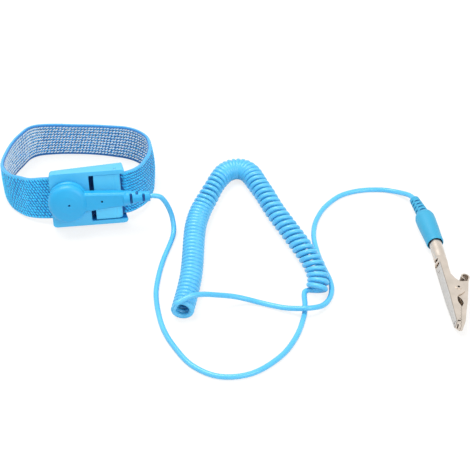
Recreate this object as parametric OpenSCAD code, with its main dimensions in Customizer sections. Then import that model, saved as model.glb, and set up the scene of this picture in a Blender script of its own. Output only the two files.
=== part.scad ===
// Wrist strap for earthing a person at a bench: elastic wristband with a cam clasp,
// press-stud connector with its series resistor, curly cord, banana plug and crocodile clip.
// Millimetres. X runs along the clasp, Z is up, and everything lies on the floor at z = 0.

/* [Wristband] */
// Width of the elastic band
band_w = 20.8; // [19:0.1:21.2]
// Thickness of the elastic band
band_t = 2; // [1.6:0.1:2.1]

/* [Clasp] */
// Length of the clasp along the band
clasp_w = 35.2; // [34:0.1:36]
// Height of the clasp across the band
clasp_h = 26.4; // [26.2:0.1:26.8]
// Depth of the clasp at its stud end
clasp_thin = 5.6; // [5.5:0.1:6.4]
// Depth of the clasp at its lever end
clasp_thick = 10.5; // [10:0.1:12]
// How far the clasp leans back, in degrees
lean = 17.3; // [10:0.1:22]

/* [Connector] */
// Diameter of the round head
head_d = 18.3; // [17.5:0.1:18.6]
// Height of the head above the clasp's face
head_h = 9; // [8.5:0.1:10]
// Distance from the head's centre to the end of the strain relief
neck_l = 37.9; // [36:0.1:40]

/* [Cord] */
// Diameter of the cord
cord_d = 2.4; // [2:0.1:2.5]
// Axial spacing of the curls against the cord's diameter, least value
curl_open = 1.2; // [1.2:0.01:1.4]

/* [Plug and clip] */
// Diameter of the plug's boot where it is thickest
boot_d = 9.2; // [8.6:0.1:9.2]
// Outside diameter of the clip's barrel
barrel_d = 5.8; // [5.6:0.1:6]
// Thickness of the clip's sheet metal
sheet = 0.6; // [0.5:0.05:0.6]
// Length of the clip from the boot's mouth to its tip
clip_l = 56.2; // [56:0.1:58]

/* [Hidden] */

$fn = 48;
eps = 0.01;

// Where the layout's zero lies from the part's origin
bench = [0.14, 0.7, 0];

// Pose of the clasp: middle of its front face, turn about Z, turn in its own plane
clasp_turn = 5.5;
clasp_roll = 1;
clasp_at = [7.35, -24.4, 15.55];

// Features of the clasp, in its own frame: x along the band, y up the face, z out of it
band_front = -5.5;
band_drop = -0.4;
rail = 2;
band_play = 0.25;
window_from = 0.7;
end_slant = 1.3;
slot_w = 2.1;
pin_at = [13.05, 0, -2.9];
pin_r = 0.75;
lever_r = 2.2;
lever_face = -0.7;
lever_t = 1.4;
lever_play = 0.3;
lever_groove = 12.15;
stud_at = [-9.35, 0.65, 0];
stud_r = 3.3;
shank_r = 2;
plate_t = 0.5;

// Features of the connector, in its own frame: x along the neck, z out of the clasp's face
neck_turn = 0.4;
head_lift = 0.7;
cap_h = 2.4;
cap_d = 18.7;
socket_r = 6.2;
socket_play = 0.05;
neck_w = 10.2;
neck_end_w = 6.6;
neck_high = 7.2;
relief_l = 11.4;
relief_d = 6.8;
relief_end_d = 4.6;
cord_z = 4.6;
face_slots = [29.1, 34.9];
edge_slot = 31.9;
flex_slot_w = 1.1;
pin_marks = [0.6, 15.6];

// Plug: middle of the boot's mouth, and its heading
plug_at = [167.6, -43.3, 4.6];
plug_turn = -85.5;
plug_r = 1.6;
sleeve_r = barrel_d / 2 - sheet - 0.08;

// Boot: it leans a little from the plug towards the cord
boot_l = 21.3;
boot_out = 0.6;
boot_mouth_d = 8;
boot_turn = 3.8;
boot_relief_l = 12;
boot_relief_d = 6.2;
boot_relief_end_d = 4.6;
boot_relief_turn = 10.4;

// Clip, in its own frame: x to the tip, y to the lever, z across the jaws
clip_roll = -8;
spine = -2.2;
wall = 3.2;
wall_tip = 1.6;
taper_from = 38;
ear_gap = 0.1;
rivet_at = [33.2, 3];
rivet_r = 1;
rivet_hole_r = 0.6;
barrel_end = 11.5;
channel_from = 16;
back_slots = [13.2, 15.7];
back_slot_turn = 68;

// ---------------------------------------------------------------- routes and profiles

// Bottom outer edge of the band outside the clasp: x, y, height, lean in degrees, bulge
band_edge = [
    [-17.7, -23.0, 2.4, 16, 0], [-23.3, -20.6, 1.4, 11, 0], [-27.5, -17.1, 0.7, 7, 0],
    [-31.5, -12.7, 0.3, 0, 0.2], [-35.2, -5.6, 0, -2, 0.4], [-37.5, 2.2, 0, 4, 0.4],
    [-36.7, 9.8, 0, 5, 0.2], [-34.6, 16.3, 0, 4, 0], [-32.0, 22.1, 0, 4, 0],
    [-29.1, 28.0, 0, 6, 0], [-24.1, 31.6, 0, 7.5, 0], [-15.2, 33.1, 0, 9, 0],
    [-4.0, 33.3, 0, 10.5, 0], [5.5, 32.6, 0, 9.5, 0], [14.0, 31.1, 0, 7.5, 0],
    [22.0, 28.9, 0, 4.5, 0.2], [28.3, 25.0, 0, 2, 0.6], [32.9, 19.0, 0, 0, 1],
    [35.3, 11.0, 0, 1, 1.1], [36.0, 4.0, 0.1, 4, 0.8], [35.6, -1.0, 0.4, 7, 0.4],
    [34.7, -6.6, 1.1, 10, 0.2], [32.9, -11.7, 2.2, 13, 0], [30.5, -15.9, 3.3, 15, 0],
    [27.7, -19.0, 3.8, 17, 0]
];

// Lead from the connector to the curls, after its straight first stretch
lead_route = [
    [40.6, -25.0, 17.3], [42.6, -25.1, 15.0], [44.3, -25.5, 11.6], [45.6, -26.3, 8.0],
    [46.4, -28.0, 4.9], [46.8, -30.4, 2.8], [46.6, -33.6, 1.5], [46.0, -37.0, 1.25],
    [45.0, -41.5, 1.2], [42.8, -51.0, 1.2], [41.2, -61.5, 1.2], [40.5, -73.5, 1.2],
    [41.9, -85.0, 1.2], [44.7, -96.2, 1.2], [49.4, -106.3, 1.2], [57.5, -117.8, 1.2],
    [69.0, -124.2, 1.2], [82.5, -122.5, 1.2], [94.4, -113.0, 1.2], [101.4, -101.6, 1.2],
    [105.2, -89.6, 1.2], [106.3, -82.0, 1.2], [106.4, -76.2, 1.2], [107.6, -72.9, 1.2]
];

// Axis of the curly stretch in plan, from the lead's end to the tail's end
coil_axis = [
    [111.9, -71.8], [112.4, -66.0], [110.7, -57.2], [105.2, -43.7], [96.4, -24.3],
    [93.2, -16.6], [89.8, -7.4], [86.4, 0.6], [83.7, 7.0], [81.5, 10.3], [78.5, 12.3],
    [75.1, 12.4], [72.1, 10.9], [69.7, 8.3], [66.9, 3.0], [64.8, -2.4], [62.7, -8.8],
    [60.3, -16.1], [58.3, -24.0], [57.1, -32.0], [56.6, -41.5], [56.4, -54.0], [56.0, -64.5], [54.9, -75.0], [52.8, -88.8]
];

// Outside diameter of the curls and their axial spacing, along the share of the axis
coil_od = [[0, 10], [0.3, 10], [0.37, 9.8], [0.42, 9.6], [0.5, 9.5], [0.55, 9.3],
    [0.6, 10.4], [0.66, 10.5], [0.75, 10.2], [1, 10.2]];
coil_pitch = [[0, 3.8], [0.2, 3.7], [0.33, 3.4], [0.36, 3.6], [0.39, 5], [0.41, 5.8], [0.48, 5.7],
    [0.5, 5.1], [0.53, 4.5], [0.58, 3.9], [0.62, 3.5], [0.67, 3.0], [1, 2.92]];

// Tail from the curls to the plug's boot, before its straight last stretch
tail_route = [
    [55.2, -87.3, 11.4], [57.3, -86.4, 11.6], [60.0, -85.1, 11.0], [63.2, -83.5, 9.7],
    [66.8, -82.0, 8.0], [71.1, -80.5, 6.2], [75.5, -79.3, 4.4], [80.8, -79.0, 2.6],
    [86.5, -80.0, 1.5], [91.7, -81.8, 1.5], [97.3, -84.1, 2.2], [102.5, -85.8, 3.4],
    [106.3, -86.4, 4.1], [110.1, -85.4, 3.6], [113.6, -82.9, 2.4], [116.3, -79.2, 1.6],
    [118.0, -74.6, 1.25], [118.6, -69.6, 1.2], [117.9, -64.2, 1.2], [116.2, -58.1, 1.2],
    [114.3, -50.5, 1.2], [112.8, -41.4, 1.2], [112.3, -33.4, 1.2], [113.5, -24.6, 1.2],
    [117.0, -15.5, 1.2], [121.4, -9.0, 1.2], [126.5, -3.9, 1.2], [132.6, -0.8, 1.2],
    [139.6, 0.8, 1.2], [147.5, 0.9, 1.2], [152.6, -0.6, 1.5], [156.4, -3.2, 2.5],
    [159.4, -6.4, 3.8]
];

// ---------------------------------------------------------------- functions

function unit(v) = v / norm(v);
function flat(v) = [v[0], v[1], 0];

// Point t of the way from b to c on a smooth curve through a, b, c, d
function smooth(a, b, c, d, t) =
    0.5 * (2 * b + (c - a) * t + (2 * a - 5 * b + 4 * c - d) * t * t
    + (3 * b - a - 3 * c + d) * t * t * t);

// A smooth curve through all the points, with n steps between each two
function curve(p, n) = [
    for (i = [0 : len(p) - 2], k = [0 : n - 1])
        smooth(i == 0 ? 2 * p[0] - p[1] : p[i - 1], p[i], p[i + 1],
            i == len(p) - 2 ? 2 * p[i + 1] - p[i] : p[i + 2], k / n),
    p[len(p) - 1]
];

// Length from the start to each point
function lengths(p) = [for (i = 0, s = 0; i < len(p); i = i + 1,
    s = i < len(p) ? s + norm(p[i] - p[i - 1]) : s) s];

// Direction of the curve at point i
function heading(p, i) = unit(p[min(i + 1, len(p) - 1)] - p[max(i - 1, 0)]);

// Round tube of n sides along the points, one ring a point
module tube(p, d, n) {
    rings = [for (i = [0 : len(p) - 1]) let (
            t = heading(p, i),
            a = unit(cross([0, 0, 1], t)),
            b = cross(t, a))
        for (k = [0 : n - 1]) p[i] + d / 2 * (cos(360 * k / n) * a + sin(360 * k / n) * b)];
    skin(rings, n);
}

// Closed solid over rings of n points each, one after another
module skin(rings, n) {
    count = len(rings) / n;
    sides = [for (i = [0 : count - 2], k = [0 : n - 1]) let (
            a = i * n + k, b = i * n + (k + 1) % n)
        each [[a, b, b + n], [a, b + n, a + n]]];
    ends = [for (k = [1 : n - 2]) each [
        [0, k + 1, k],
        [(count - 1) * n, (count - 1) * n + k, (count - 1) * n + k + 1]]];
    polyhedron(points = rings, faces = [for (f = concat(sides, ends)) [f[0], f[2], f[1]]]);
}

// ---------------------------------------------------------------- frames

// Axes of the clasp's frame
clasp_u0 = [cos(clasp_turn), sin(clasp_turn), 0];
clasp_out = [sin(clasp_turn), -cos(clasp_turn), 0];
clasp_v0 = cos(lean) * [0, 0, 1] - sin(lean) * clasp_out;
clasp_z = cos(lean) * clasp_out + sin(lean) * [0, 0, 1];
clasp_x = cos(clasp_roll) * clasp_u0 + sin(clasp_roll) * clasp_v0;
clasp_y = cos(clasp_roll) * clasp_v0 - sin(clasp_roll) * clasp_u0;
function clasp_point(p) = clasp_at + p[0] * clasp_x + p[1] * clasp_y + p[2] * clasp_z;

// The connector's axes, turned a little about the stud
neck_x = cos(neck_turn) * clasp_x + sin(neck_turn) * clasp_y;
function neck_point(x, z) = clasp_point(stud_at) + x * neck_x + z * clasp_z;

// The plug's heading, and the strain relief's
boot_x = [cos(plug_turn + boot_turn), sin(plug_turn + boot_turn), 0];
relief_x = [cos(plug_turn + boot_relief_turn), sin(plug_turn + boot_relief_turn), 0];
boot_back = plug_at + (boot_out - boot_l) * boot_x;
cord_in = boot_back - boot_relief_l * relief_x;

module in_clasp() {
    translate(bench + clasp_at) rotate([90 - lean, 0, clasp_turn])
        rotate([0, 0, clasp_roll]) children();
}

module in_connector() {
    in_clasp() translate(stud_at) rotate([0, 0, neck_turn]) children();
}

module in_plug() {
    translate(bench + plug_at) rotate([0, 0, plug_turn]) children();
}

module in_boot() {
    translate(bench + plug_at) rotate([0, 0, plug_turn + boot_turn]) children();
}

module in_relief() {
    translate(bench + boot_back) rotate([0, 0, plug_turn + boot_relief_turn]) children();
}

module in_clip() {
    in_plug() rotate([clip_roll, 0, 0]) children();
}

// ---------------------------------------------------------------- shapes

module round_rect(w, h, r) {
    square([w - 2 * r, h], center = true);
    square([w, h - 2 * r], center = true);
    for (x = [-1, 1], y = [-1, 1])
        translate([x * (w / 2 - r), y * (h / 2 - r)]) circle(r);
}

// Cylinder along x
module rod(from, to, r, r2 = -1) {
    translate([from, 0, 0]) rotate([0, 90, 0])
        cylinder(h = to - from, r1 = r, r2 = r2 < 0 ? r : r2);
}

// A flat profile in x and z, stretched along y
module across(w) {
    rotate([90, 0, 0]) linear_extrude(w, center = true) children();
}

// ---------------------------------------------------------------- wristband

module clasp_base() {
    blue() in_clasp() difference() {
        intersection() {
            across(clasp_h) polygon([
                [-clasp_w / 2, 0], [clasp_w / 2, 0],
                [clasp_w / 2 - end_slant, -clasp_thick], [-clasp_w / 2, -clasp_thin]]);
            translate([0, 0, -clasp_thick]) linear_extrude(clasp_thick)
                round_rect(clasp_w, clasp_h, 1.6);
        }
        // channel for the band, open at the back over the contact plate
        translate([-clasp_w, -band_w / 2 - 0.6, band_front - band_t - 0.3])
            cube([2 * clasp_w, band_w + 0.8, band_t + 0.3 + band_play]);
        translate([-clasp_w, -band_w / 2 - 0.6, -clasp_thick])
            cube([clasp_w + window_from, band_w + 0.8, clasp_thick + band_front]);
        // window over the lever
        translate([window_from, rail - clasp_h / 2, band_front - 0.2])
            cube([clasp_w, clasp_h - 2 * rail, clasp_thick]);
        translate(stud_at - [0, 0, clasp_thick]) cylinder(h = 2 * clasp_thick, r = shank_r);
        translate(pin_at) rotate([90, 0, 0]) cylinder(h = 2 * clasp_h, r = pin_r, center = true);
    }
}

module cam_lever() {
    inner = clasp_h - 2 * rail - 2 * lever_play;
    blue() in_clasp() difference() {
        union() {
            across(inner) polygon([
                [window_from + slot_w, lever_face], [pin_at[0], lever_face],
                [pin_at[0], lever_face - lever_t], [window_from + slot_w + 0.5, lever_face - lever_t],
                [window_from + slot_w, lever_face - lever_t + 0.5]]);
            translate(pin_at) rotate([90, 0, 0]) cylinder(h = inner, r = lever_r, center = true);
            // teeth that grip the band
            for (a = [200 : 15 : 260]) translate(pin_at) rotate([0, 90 - a, 0])
                across(inner - 3)
                polygon([[-0.3, lever_r - 0.2], [0.3, lever_r - 0.2], [0, lever_r + 0.15]]);
        }
        translate(pin_at) rotate([90, 0, 0])
            cylinder(h = 2 * clasp_h, r = pin_r + 0.05, center = true);
        // groove between the flap and the barrel
        across(clasp_h) polygon([
            [lever_groove - 0.3, lever_face + eps], [lever_groove, lever_face - 0.35],
            [lever_groove + 0.3, lever_face + eps]]);
    }
}

module lever_pin() {
    color("silver") in_clasp() translate(pin_at) rotate([90, 0, 0])
        cylinder(h = clasp_h - 0.6, r = pin_r, center = true);
}

module snap_stud() {
    back = band_front - band_t - 0.2 - plate_t;
    color("silver") in_clasp() translate([stud_at[0], stud_at[1], 0]) rotate_extrude()
        polygon([
            [0, back - 0.5], [4, back - 0.5], [4.2, back - 0.3], [4, back], [shank_r, back],
            [shank_r, 0], [6, 0], [6, 0.5], [3.1, 0.6], [2.8, 1], [2.7, 1.6], [2.8, 2.4],
            [stud_r, 2.9], [stud_r, 3.7], [3, 4.3], [2.2, 4.6], [0, 4.6]]);
}

module contact_plate() {
    color("silver") in_clasp() difference() {
        translate([stud_at[0] + 1.7, 0, band_front - band_t - 0.2 - plate_t])
            linear_extrude(plate_t) round_rect(16, 19, 2);
        translate([stud_at[0], stud_at[1], -20]) cylinder(h = 30, r = shank_r);
    }
}

// One cross-section of the band: its bottom outer edge, heading, lean and bulge
band_parts = 4;
function band_section(p, out, tilt, bulge) = let (
        face = cos(tilt) * out + sin(tilt) * [0, 0, 1],
        up = cos(tilt) * [0, 0, 1] - sin(tilt) * out,
        outer = [for (k = [0 : band_parts]) p + band_w * k / band_parts * up
            + bulge * sin(180 * k / band_parts) * face])
    concat([for (k = [band_parts : -1 : 0]) outer[k]], [for (q = outer) q - band_t * face]);

module elastic_band() {
    edge_v = band_drop - band_w / 2;
    inside = [for (x = [-0.5, -6, -12, -clasp_w / 2]) clasp_point([x, edge_v, band_front])];
    outside = [for (x = [clasp_w / 2, 12, 6, 0.5]) clasp_point([x, edge_v, band_front])];
    path = curve(concat(
        [for (p = inside) [p[0], p[1], p[2], lean, 0]],
        band_edge,
        [for (p = outside) [p[0], p[1], p[2], lean, 0]]), 3);
    spots = [for (p = path) [p[0], p[1], p[2]]];
    echo(band_length = lengths(spots)[len(spots) - 1]);
    blue() translate(bench) skin([for (i = [0 : len(path) - 1]) let (
            t = unit(flat(heading(spots, i))),
            p = [spots[i][0], spots[i][1], max(spots[i][2], band_t * sin(path[i][3]))])
        each band_section(p, cross([0, 0, 1], t), path[i][3], path[i][4])],
        2 * band_parts + 2);
}

// ---------------------------------------------------------------- connector

// Plan of the neck: straight taper from the head to the strain relief
module neck_plan(inset) {
    polygon([
        [0, neck_w / 2 - inset], [neck_l - relief_l, neck_end_w / 2 - inset],
        [neck_l - relief_l, inset - neck_end_w / 2], [0, inset - neck_w / 2]]);
}

module connector_cover() {
    low = head_lift + cap_h + 0.05;
    blue() in_connector() difference() {
        union() {
            rotate_extrude() polygon(concat(
                [[0, low], [head_d / 2 - 0.2, low]],
                [for (a = [0 : 15 : 75]) [
                    head_d / 2 - 3 + 3 * cos(a), head_h - 3.4 + 2.6 * sin(a)]],
                [[4, head_h - 0.25], [0, head_h]]));
            translate([0, 0, low]) linear_extrude(neck_high - low - 1) neck_plan(0);
            translate([0, 0, neck_high - 1 - eps]) linear_extrude(0.6) neck_plan(0.3);
            translate([0, 0, neck_high - 0.4 - 2 * eps]) linear_extrude(0.4) neck_plan(0.8);
            translate([0, 0, cord_z]) rod(neck_l - relief_l - 1, neck_l,
                relief_d / 2, relief_end_d / 2);
        }
        // room for the socket, the tag and the resistor
        translate([0, 0, low - 1]) cylinder(h = 4.2, r = socket_r + 0.3);
        translate([0, -2, low - 1]) cube([24, 4, 4.2]);
        translate([0, 0, cord_z]) rod(20, neck_l + 1, cord_d / 2 + 0.05);
        // flexing slots of the strain relief, on the faces and between them on the edges
        for (x = face_slots, s = [-1, 1]) translate([x, 0, cord_z + s * 2.9])
            cube([flex_slot_w, 6, 3], center = true);
        for (s = [-1, 1]) translate([edge_slot, s * 3, cord_z])
            cube([flex_slot_w, 2.4, 5], center = true);
        for (x = pin_marks) translate([x, 0, x < head_d / 2 ? head_h - 1.2 : neck_high - 1])
            cylinder(h = 2, r = 0.45);
    }
}

module connector_base() {
    blue() in_connector() difference() {
        union() {
            translate([0, 0, head_lift]) rotate_extrude() polygon([
                [0, 0], [cap_d / 2 - 0.6, 0], [cap_d / 2, 0.6], [cap_d / 2, 1.6],
                [cap_d / 2 - 0.5, cap_h], [0, cap_h]]);
            translate([0, 0, head_lift + 1]) linear_extrude(cap_h - 1) difference() {
                neck_plan(0.3);
                translate([25.5, -10]) square(20);
            }
        }
        translate([0, 0, -1]) cylinder(h = 8, r = socket_r + socket_play);
    }
}

module snap_socket() {
    color("silver") in_connector() translate([0, 0, head_lift]) rotate_extrude() polygon([
        [stud_r + socket_play, 0.3], [stud_r + 0.6, 0], [socket_r - 0.3, 0], [socket_r, 0.3],
        [socket_r, 2.2], [5.4, 2.6], [5.4, 4.6], [3.4, 4.6], [3.4, 4.2], [4.6, 4.2],
        [4.6, 0.8], [stud_r + socket_play, 0.8]]);
}

module socket_spring() {
    color("silver") in_connector() translate([0, 0, head_lift + 1.3])
        rotate_extrude(angle = 320) translate([stud_r + 0.35, 0]) circle(d = 0.5, $fn = 16);
}

module solder_tag() {
    color("gold") in_connector() translate([0, 0, head_lift + 4.8]) linear_extrude(0.3) {
        circle(4.6);
        translate([0, -1.2]) square([10.6, 2.4]);
    }
}

module resistor_body() {
    color("tan") in_connector() translate([0, 0, cord_z]) union() {
        rod(12.6, 18.6, 1.05);
        rod(12.2, 14, 1.25);
        rod(17.2, 19, 1.25);
    }
}

module resistor_leads() {
    color("silver") in_connector() translate([0, 0, cord_z]) {
        translate([10, 0, 0]) cylinder(h = head_lift + 4.8 - cord_z, r = 0.3);
        rod(10, 12.2, 0.3);
        rod(19, 21, 0.3);
    }
}

module lead_wire_end() {
    color("peru") in_connector() translate([0, 0, cord_z]) rod(21, 24.5, 0.5);
}

module lead_sheath_end() {
    blue() in_connector() translate([0, 0, cord_z]) rod(24.5, neck_l, cord_d / 2);
}

// ---------------------------------------------------------------- cord

coil_path = curve([for (p = coil_axis) [p[0], p[1], 0]], 6);
coil_run = lengths(coil_path);
coil_len = coil_run[len(coil_run) - 1];
coil_xs = [for (i = [0 : len(coil_path) - 1]) [coil_run[i], coil_path[i][0]]];
coil_ys = [for (i = [0 : len(coil_path) - 1]) [coil_run[i], coil_path[i][1]]];
function coil_at(s) = [lookup(s, coil_xs), lookup(s, coil_ys), 0];

// Turns of the helix up to each millimetre of the axis, then a whole number and a half
turn_run = [for (s = 0, n = 0; s <= coil_len + 1; s = s + 1,
    n = n + 1 / (lookup(s / coil_len, coil_pitch) * curl_open / 1.2)) [n, s]];
turns_raw = lookup(coil_len, [for (r = turn_run) [r[1], r[0]]]);
turns = floor(turns_raw) + 1 / 3;
steps = 8;

// Point of the helix after n turns: it starts at the bottom and ends near the top
function helix(n) = let (
        s = lookup(n * turns_raw / turns, turn_run),
        r = (lookup(s / coil_len, coil_od) - cord_d) / 2,
        t = unit(coil_at(min(s + 2, coil_len)) - coil_at(max(s - 2, 0))),
        side = cross(t, [0, 0, 1]),
        a = 360 * n - 90)
    coil_at(s) + r * cos(a) * side + (r + r * sin(a) + cord_d / 2) * [0, 0, 1];

curls = [for (k = [0 : floor(turns * steps)]) helix(k / steps)];
curl_in = unit(flat(helix(0.02) - helix(0)));
curl_out = unit(helix(turns) - helix(turns - 0.02));
curl_end = helix(turns);
curl_points = concat([curls[0] - cord_d * curl_in, curls[0] - 0.1 * curl_in],
    [for (k = [1 : len(curls) - 2]) curls[k]],
    [curl_end, curl_end + cord_d * curl_out]);

// Least distance between points of the helix that are half a turn or more apart
curl_gap = min([for (i = [0 : len(curls) - 7], j = [i + 6 : min(i + 10, len(curls) - 1)])
    norm(curls[i] - curls[j]), for (i = [0 : len(curls) - 9]) let (
        a = curls[i], b = curls[i + 7], c = curls[i + 8],
        d = unit(c - b), f = max(0, min(norm(c - b), (a - b) * d)))
    norm(a - b - f * d)]) - cord_d;

// The same tube, with its rings turned by the helix's own radius
module curly_cord() {
    echo(curl_turns = turns, curl_gap = curl_gap, coil_axis_length = coil_len);
    echo(curl_cord_length = lengths(curl_points)[len(curl_points) - 1]);
    rings = [for (i = [0 : len(curl_points) - 1]) let (
            p = curl_points[i],
            t = heading(curl_points, i),
            s = lookup(max(0, min(turns, (i - 1) / steps)) * turns_raw / turns, turn_run),
            c = coil_at(s) + [0, 0, lookup(s / coil_len, coil_od) / 2],
            b = unit(cross(t, p - c)),
            a = cross(b, t))
        for (k = [0 : 5]) p + cord_d / 2 * (cos(60 * k) * a + sin(60 * k) * b)];
    blue() translate(bench) skin(rings, 6);
}

module cord_lead() {
    start = neck_point(neck_l, cord_z);
    end = curl_points[0];
    path = curve(concat(
        [start, start + 1.5 * neck_x], lead_route,
        [end - 1.2 * curl_in, end]), 3);
    echo(lead_length = lengths(path)[len(path) - 1]);
    blue() translate(bench) tube(path, cord_d, 8);
}

module cord_tail() {
    start = curl_points[len(curl_points) - 1];
    path = curve(concat(
        [start, start + 1 * curl_out], tail_route,
        [cord_in - 1.5 * relief_x, cord_in]), 2);
    echo(tail_length = lengths(path)[len(path) - 1]);
    blue() translate(bench) tube(path, cord_d, 8);
}

// ---------------------------------------------------------------- plug

module plug_boot() {
    back = boot_out - boot_l;
    blue() difference() {
        union() {
            in_boot() rotate([0, 90, 0]) rotate_extrude() polygon([
                [0, back - 0.6], [boot_relief_d / 2, back - 0.6], [boot_d / 2 - 0.5, back + 0.8],
                [boot_d / 2, back + 2.6], [boot_d / 2, back + 6], [boot_d / 2 - 0.2, back + 11],
                [boot_mouth_d / 2, boot_out - 3],
                [boot_mouth_d / 2, boot_out - 0.7], [boot_mouth_d / 2 - 0.4, boot_out], [0, boot_out]]);
            in_relief() rod(-boot_relief_l, 0.4, boot_relief_end_d / 2, boot_relief_d / 2);
        }
        // mouth for the clip's barrel, and the bore for the plug
        in_plug() rod(-7, 5, barrel_d / 2 + 0.3);
        in_plug() rod(-1.5, 5, barrel_d / 2 + 0.55);
        in_plug() rod(-17, 0, 2.3);
        in_relief() {
            rod(-boot_relief_l - 1, 3.5, cord_d / 2);
            // flexing slots, by turns on each side and on top and bottom
            for (i = [0 : 3], s = [-1, 1]) translate([-2.4 - 2.4 * i, s * (2.9 - 0.16 * i), 0])
                cube([0.8, 1.6, 8], center = true);
            for (i = [0 : 3], s = [-1, 1]) translate([-1.2 - 2.4 * i, 0, s * (3 - 0.16 * i)])
                cube([0.8, 8, 1.6], center = true);
        }
    }
}

module plug_pin() {
    color("silver") in_plug() union() {
        rod(-17, -7, 2.3);
        rod(-7 - eps, -6.2, 2);
        rod(-6.2 - eps, 6.2, plug_r);
        rod(6.2 - eps, 7.2, plug_r + 0.5);
        rod(7.2 - eps, 9, plug_r + 0.5, 0.7);
    }
}

module plug_wire_end() {
    blue() in_relief() rod(-boot_relief_l, 3.2, cord_d / 2);
}

module lantern_spring() {
    color("silver") in_plug() difference() {
        rotate([0, 90, 0]) rotate_extrude() polygon([
            [plug_r + 0.05, -6], [plug_r + 0.3, -6], [plug_r + 0.35, -4.5], [sleeve_r, -2.4],
            [sleeve_r, 2.4], [plug_r + 0.35, 4.5], [plug_r + 0.3, 6], [plug_r + 0.05, 6]]);
        for (a = [0 : 60 : 120]) rotate([a, 0, 0]) cube([8, 0.5, 8], center = true);
    }
}

// ---------------------------------------------------------------- clip

tooth_from = 45.2;
tooth_to = 56;
tooth_n = 7;
tooth_fall = 0.2176;
tooth_deep = 0.5;

// The line where the jaws meet, as a saw edge, raised by d
function tooth_line(d) = let (step = (tooth_to - tooth_from) / tooth_n) [
    for (i = [0 : tooth_n - 1]) each [
        [tooth_from + i * step, 1.9 - tooth_fall * i * step + d],
        [tooth_from + (i + 0.5) * step, 1.9 - tooth_deep - tooth_fall * (i + 0.5) * step + d]],
    [tooth_to, 1.9 - tooth_fall * (tooth_to - tooth_from) + d]];

// Side of the fixed half, from the barrel over the ear and the teeth to the tip
module body_side() {
    polygon(concat(
        [[channel_from, 1.6], [20, 1.3], [24.5, 1.3], [27.3, 2.6], [29.1, 4.3], [30.8, 5.5], [33.2, 6],
            [35.6, 5.4], [37.4, 3.6], [38.3, 1.9], [40, 0.9], [42.5, 0.8]],
        tooth_line(0), [[tooth_to, -0.9], [clip_l - 2.3, spine], [channel_from, spine]]));
}

// Width of the jaws, seen along y, and less the sheet on both sides
module jaw_width(inset) {
    across(20) polygon([for (p = [
            [10, wall], [taper_from, wall], [clip_l + 2, wall_tip],
            [clip_l + 2, -wall_tip], [taper_from, -wall], [10, -wall]])
        [p[0], p[1] - sign(p[1]) * inset]]);
}

// Start of the channel, where the round barrel has become a trough
module channel_end(inset) {
    translate([channel_from, (1.6 + spine) / 2 + inset, 0])
        cube([0.1, 1.6 - spine, 2 * (wall - inset)], center = true);
}

module clip_body() {
    half = barrel_d / 2;
    color("lightgrey") in_clip() difference() {
        union() {
            rod(-6, barrel_end, half);
            hull() {
                rod(barrel_end - 0.1, barrel_end, half, $fn = 32);
                channel_end(0);
            }
            intersection() {
                linear_extrude(20, center = true) body_side();
                jaw_width(0);
            }
        }
        rod(-7, barrel_end + 0.1, half - sheet);
        hull() {
            rod(barrel_end, barrel_end + 0.1, half - sheet, $fn = 32);
            channel_end(sheet);
        }
        intersection() {
            translate([channel_from - eps, spine + sheet, -10])
                cube([tooth_to - sheet - channel_from, 20, 20]);
            jaw_width(sheet);
        }
        // slanted slots across the back, where the barrel meets the channel
        for (x = back_slots) translate([x, spine - 0.4, 0])
            rotate([0, -back_slot_turn, 0]) cube([5.5, 2.2, 1.3], center = true);
        translate([19.8, spine, -0.4]) cube([0.5, 2, 1.6], center = true);
        translate([rivet_at[0], rivet_at[1], 0]) cylinder(h = 20, r = rivet_r, center = true);
    }
}

// Width of the moving half: inside the ears at the rivet, over the teeth level with the walls
module moving_width(inset) {
    inner = wall - sheet - ear_gap;
    tip = wall_tip + (wall - wall_tip) * 2 / (clip_l + 2 - taper_from);
    mid = wall - (wall - wall_tip) * (41.4 - taper_from) / (clip_l + 2 - taper_from);
    across(30) polygon([for (p = [
            [20, inner], [39.4, inner], [41.4, mid], [clip_l, tip],
            [clip_l, -tip], [41.4, -mid], [39.4, -inner], [20, -inner]])
        [p[0], p[1] - sign(p[1]) * inset]]);
}

// Side of the moving half, from the thumb lever over the rivet and the teeth to the tip
jaw_back = [[28.2, 8.9], [33.9, 7.4], [40.8, 5.6], [47.4, 3.6], [53.6, 1.9], [tooth_to, 0.8]];
module jaw_side() {
    polygon(concat(jaw_back, [for (i = [2 * tooth_n : -1 : 0]) tooth_line(0.15)[i]],
        [[43.2, 3.2], [40.8, 2.8], [39.2, 2.2], [37.6, 1], [35, 0.2], [32.4, 0.3], [30.4, 1.6],
            [28.6, 4.6]]));
}

module clip_jaw() {
    color("lightgrey") in_clip() {
        difference() {
            intersection() {
                linear_extrude(20, center = true) jaw_side();
                moving_width(0);
            }
            intersection() {
                linear_extrude(20, center = true) polygon(concat(
                    [for (p = jaw_back) [min(p[0] + 0.2, tooth_to - sheet), p[1] - sheet]],
                    [[tooth_to - sheet, -2], [tooth_to - sheet, -9], [20, -9], [20, 12], [27, 10]]));
                moving_width(sheet);
            }
            translate([rivet_at[0], rivet_at[1], 0])
                cylinder(h = 20, r = rivet_r + 0.05, center = true);
        }
        // thumb pad, curled at its end
        linear_extrude(2 * (wall - sheet - ear_gap), center = true) {
            polygon([[28.5, 8.2], [28.9, 8.7], [25.7, 10.1], [25.4, 9.5]]);
            polygon(concat(
                [for (a = [70 : 20 : 330]) [25.2, 8.1] + 2 * [cos(a), sin(a)]],
                [for (a = [330 : -20 : 70]) [25.2, 8.1] + 1.4 * [cos(a), sin(a)]]));
        }
    }
}

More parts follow.
